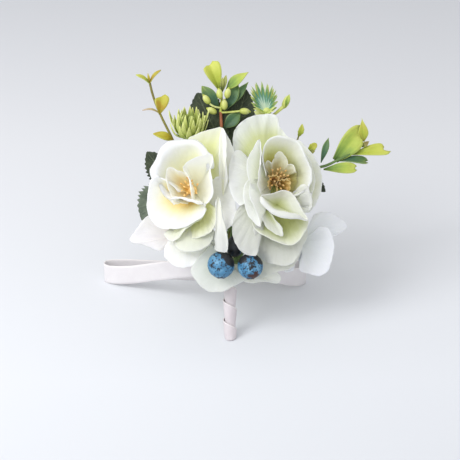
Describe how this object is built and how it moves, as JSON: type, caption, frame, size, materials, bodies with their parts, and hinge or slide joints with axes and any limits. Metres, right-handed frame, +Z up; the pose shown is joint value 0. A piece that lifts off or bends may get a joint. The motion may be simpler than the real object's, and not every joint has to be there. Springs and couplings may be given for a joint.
{
  "type": "wrist corsage",
  "caption": "Wrist corsage of open ivory silk roses with florets, green sprigs, dark leaves and speckled blue berries on a ribbon-wrapped stem, with a ribbon loop that ties around the wrist.",
  "frame": {"origin": "middle of the stem's foot, on the table", "axes": "+Z up from the table, -Y towards the viewer that the flowers face, +X to that viewer's right; the stem leans back 30 degrees about X"},
  "size_m": [0.1329, 0.0721, 0.1058],
  "materials": {
    "petal_ivory": "matte silk",
    "floret_white": "matte silk",
    "floret_pink": "matte silk",
    "leaf_dark": "velvet",
    "sprig_green": "moulded",
    "spiky_green": "moulded",
    "wire_green": "floral tape over wire",
    "berry_blue": "speckled foam",
    "berry_dark": "speckled foam",
    "stamen_gold": "dyed thread",
    "stamen_brown": "dyed thread",
    "satin_pink": "satin",
    "felt_white": "felt",
    "tape_green": "crepe tape"
  },
  "bodies": {
    "bouquet": {"stem_core": "felt_white", "stem_ribbon_wrap": "satin_pink", "binding": "tape_green", "wrist_pad": "felt_white", "ribbon_bridge": "satin_pink", "left_rose_wire": "wire_green", "right_rose_wire": "wire_green", "right_floret_wire": "wire_green", "left_floret_wire": "wire_green", "top_leaf_wire": "wire_green", "left_leaf_wire": "wire_green", "right_leaf_wire": "wire_green", "left_sprig_stub": "wire_green", "right_sprig_stub": "wire_green", "berry_pick": "wire_green", "dark_berry": "berry_dark", "spiky_flower_stem": "sprig_green", "spiky_cup_stem": "sprig_green", "centre_sprig": "sprig_green", "back_pick": "sprig_green", "spiky_flower": "spiky_green", "spiky_cup": "spiky_green", "left_rose_whorl_1": "petal_ivory", "left_rose_whorl_2": "petal_ivory", "left_rose_whorl_3": "petal_ivory", "left_rose_whorl_4": "petal_ivory", "left_rose_stamens": "stamen_gold", "left_rose_calyx": "wire_green", "right_rose_whorl_1": "petal_ivory", "right_rose_whorl_2": "petal_ivory", "right_rose_whorl_3": "petal_ivory", "right_rose_whorl_4": "petal_ivory", "right_rose_stamens": "stamen_brown", "right_rose_calyx": "wire_green", "right_floret": "floret_white", "left_floret": "floret_pink", "front_floret": "floret_white", "top_left_leaf": "leaf_dark", "top_right_leaf": "leaf_dark", "upper_left_leaf": "leaf_dark", "lower_left_leaf": "leaf_dark", "right_leaf": "leaf_dark"},
    "ribbon_left": {"wrist_ribbon_left": "satin_pink", "ribbon_knot": "satin_pink"},
    "ribbon_right": {"wrist_ribbon_right": "satin_pink"},
    "left_sprig": {"left_sprig": "sprig_green"},
    "right_sprig": {"right_sprig": "sprig_green"},
    "left_berry": {"left_berry": "berry_blue", "left_berry_neck": "wire_green"},
    "right_berry": {"right_berry": "berry_blue", "right_berry_neck": "wire_green"}
  },
  "joints": [
    {"name": "ribbon_left_fold", "type": "hinge", "parent": "bouquet", "child": "ribbon_left", "pos_m": [-0.0099, 0.02452, 0.02343], "axis": [0, 0, 1], "range_deg": [0, 60]},
    {"name": "ribbon_right_fold", "type": "hinge", "parent": "bouquet", "child": "ribbon_right", "pos_m": [0.0099, 0.02452, 0.02343], "axis": [0, 0, 1], "range_deg": [-60, 0]},
    {"name": "left_sprig_bend", "type": "hinge", "parent": "bouquet", "child": "left_sprig", "pos_m": [-0.0262, 0.05215, 0.07393], "axis": [0, 0.866, -0.5], "range_deg": [-20, 6]},
    {"name": "right_sprig_bend", "type": "hinge", "parent": "bouquet", "child": "right_sprig", "pos_m": [0.0413, 0.04436, 0.06434], "axis": [0, 0.866, -0.5], "range_deg": [-8, 15]},
    {"name": "left_berry_sway", "type": "hinge", "parent": "bouquet", "child": "left_berry", "pos_m": [0.00075, 0.01716, 0.04852], "axis": [0, 0.866, -0.5], "range_deg": [0, 12]},
    {"name": "right_berry_sway", "type": "hinge", "parent": "bouquet", "child": "right_berry", "pos_m": [0.00365, 0.01716, 0.04852], "axis": [0, 0.866, -0.5], "range_deg": [-12, 0]}
  ]
}
